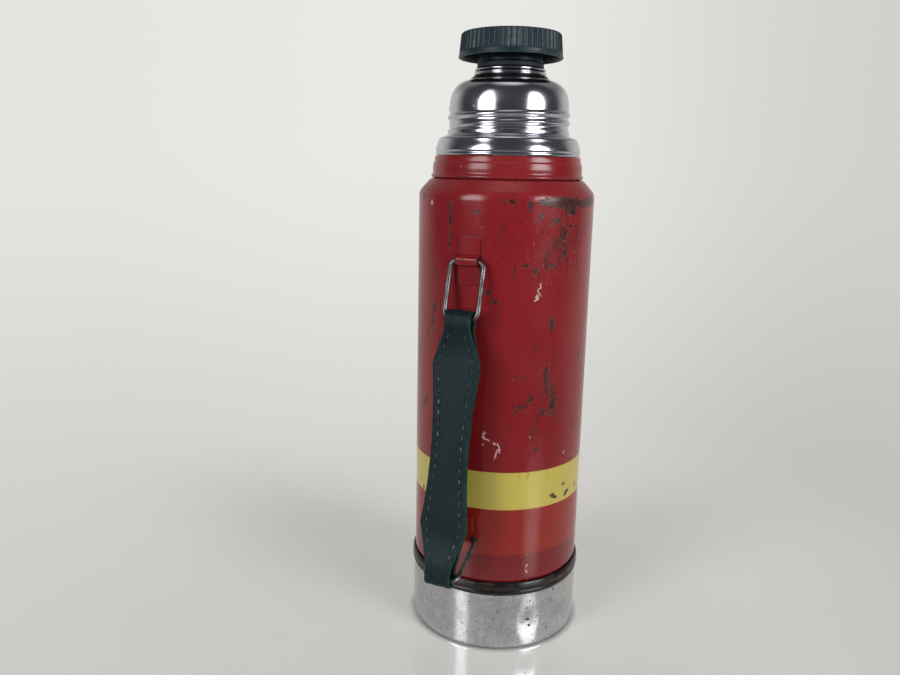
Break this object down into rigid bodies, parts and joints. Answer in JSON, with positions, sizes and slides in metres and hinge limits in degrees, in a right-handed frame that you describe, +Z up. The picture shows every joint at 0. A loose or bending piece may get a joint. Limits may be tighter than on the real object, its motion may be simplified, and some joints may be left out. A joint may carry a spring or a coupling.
{
  "type": "insulated water bottle",
  "caption": "Tall steel vacuum bottle with a threaded neck, a ribbed screw stopper, a bare base cup and a leather carrying strap on wire rings.",
  "frame": {"origin": "centre of the flat underside of the base cup, on the bottle's axis", "axes": "+Z up along the bottle's axis; -Y towards the strap, brackets and rings; +X to the right when facing the strap"},
  "size_m": [0.098, 0.1283, 0.3296],
  "materials": {
    "body_enamel": "glossy red enamel, chipped to a grey-green undercoat",
    "band_enamel": "glossy orange-red enamel band",
    "polished_steel": "mirror-polished stainless steel",
    "vessel_steel": "drawn stainless steel",
    "base_steel": "dull bare steel with dark pitting",
    "seam_enamel": "glossy black with rusty remnants",
    "ring_wire": "greyed plated wire",
    "strap_leather": "dark green leather with a slight sheen",
    "strap_thread": "pale green waxed thread",
    "cap_plastic": "dark green moulded plastic with fine ribs",
    "stem_plastic": "dark moulded plastic",
    "rubber_seal": "matte black rubber",
    "foam": "cream insulating foam",
    "copper": "dull copper tube",
    "felt": "grey pressed felt"
  },
  "bodies": {
    "bottle": {"outer_shell": "body_enamel", "shoulder_collar": "body_enamel", "neck_shell": "polished_steel", "jacket_bottom": "vessel_steel", "evacuation_tube": "copper", "liner_body": "vessel_steel", "liner_bottom": "vessel_steel", "liner_neck": "polished_steel", "liner_support": "vessel_steel", "getter_pack": "vessel_steel", "base_ring": "seam_enamel", "base_cup": "base_steel", "base_pad": "felt", "upper_bracket": "body_enamel", "lower_bracket": "band_enamel"},
    "upper_strap_ring": {"upper_ring": "ring_wire"},
    "strap": {"strap_face": "strap_leather", "strap_lining": "strap_leather"},
    "lower_strap_ring": {"lower_ring": "ring_wire"},
    "stopper_seal": {"stopper_gasket": "rubber_seal"},
    "stopper_filling": {"stopper_core": "foam"},
    "stopper": {"stopper_cap": "cap_plastic", "stopper_stem": "stem_plastic", "stopper_end_disc": "stem_plastic"}
  },
  "joints": [
    {"name": "stopper_lift", "type": "slide", "parent": "bottle", "child": "stopper_seal", "axis": [0, 0, 1], "range_m": [0, 0.06]},
    {"name": "stopper_rise", "type": "slide", "parent": "stopper_seal", "child": "stopper_filling", "axis": [0, 0, 1], "range_m": [0, 0.01]},
    {"name": "stopper_turn", "type": "hinge", "parent": "stopper_filling", "child": "stopper", "pos_m": [0, 0, 0.3], "axis": [0, 0, 1], "range_deg": [0, 900]},
    {"name": "upper_ring_swing", "type": "hinge", "parent": "bottle", "child": "upper_strap_ring", "pos_m": [0, -0.0493, 0.2153], "axis": [-1, 0, 0], "range_deg": [0, 70]},
    {"name": "strap_swing", "type": "hinge", "parent": "upper_strap_ring", "child": "strap", "pos_m": [0, -0.0567, 0.18767], "axis": [-1, 0, 0], "range_deg": [-80, 0]},
    {"name": "lower_ring_swing", "type": "hinge", "parent": "bottle", "child": "lower_strap_ring", "pos_m": [0, -0.0493, 0.0663], "axis": [-1, 0, 0], "range_deg": [0, 52.5]}
  ],
  "couplings": [
    {"joint": "stopper_rise", "follows": "stopper_turn", "m_per_rad": 0.00063662},
    {"joint": "strap_swing", "follows": "upper_ring_swing", "ratio": -1.1367},
    {"joint": "lower_ring_swing", "follows": "upper_ring_swing", "ratio": 0.7477}
  ]
}
